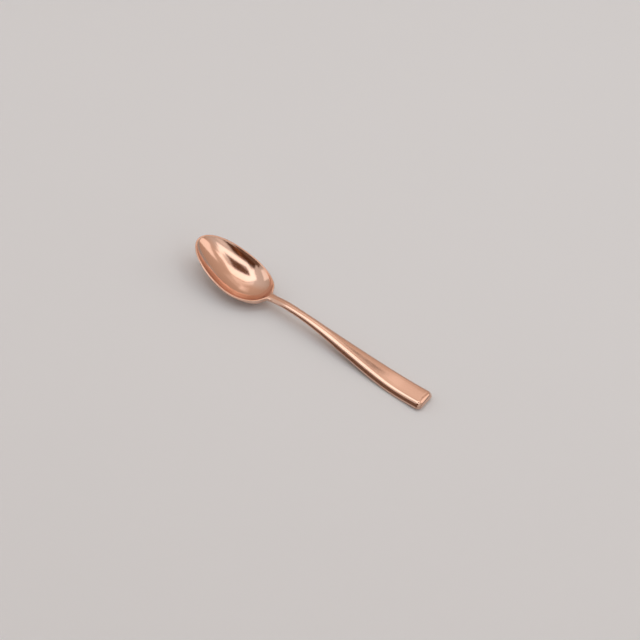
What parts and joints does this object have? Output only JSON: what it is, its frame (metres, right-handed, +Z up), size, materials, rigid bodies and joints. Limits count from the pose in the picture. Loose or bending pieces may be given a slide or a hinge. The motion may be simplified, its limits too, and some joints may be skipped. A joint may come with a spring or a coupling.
{
  "type": "dessert spoon",
  "caption": "Polished rose-gold dessert spoon with an egg-shaped bowl, a slender neck and a flat-topped hollow handle with rounded sides that widens to its end.",
  "frame": {"origin": "on the table, under the middle of the spoon's length and width", "axes": "+X along the spoon from the tip of the bowl to the end of the handle, +Y across it, +Z up out of the bowl"},
  "size_m": [0.18, 0.0384, 0.0204],
  "materials": {
    "polished_steel": "mirror-polished steel with a rose-gold coloured coating",
    "set_filler": "set resin cement, hidden inside the handle"
  },
  "bodies": {
    "root": {"bowl_and_neck": "polished_steel", "upper_handle_shell": "polished_steel", "lower_handle_shell": "polished_steel", "handle_core": "set_filler"}
  },
  "joints": []
}
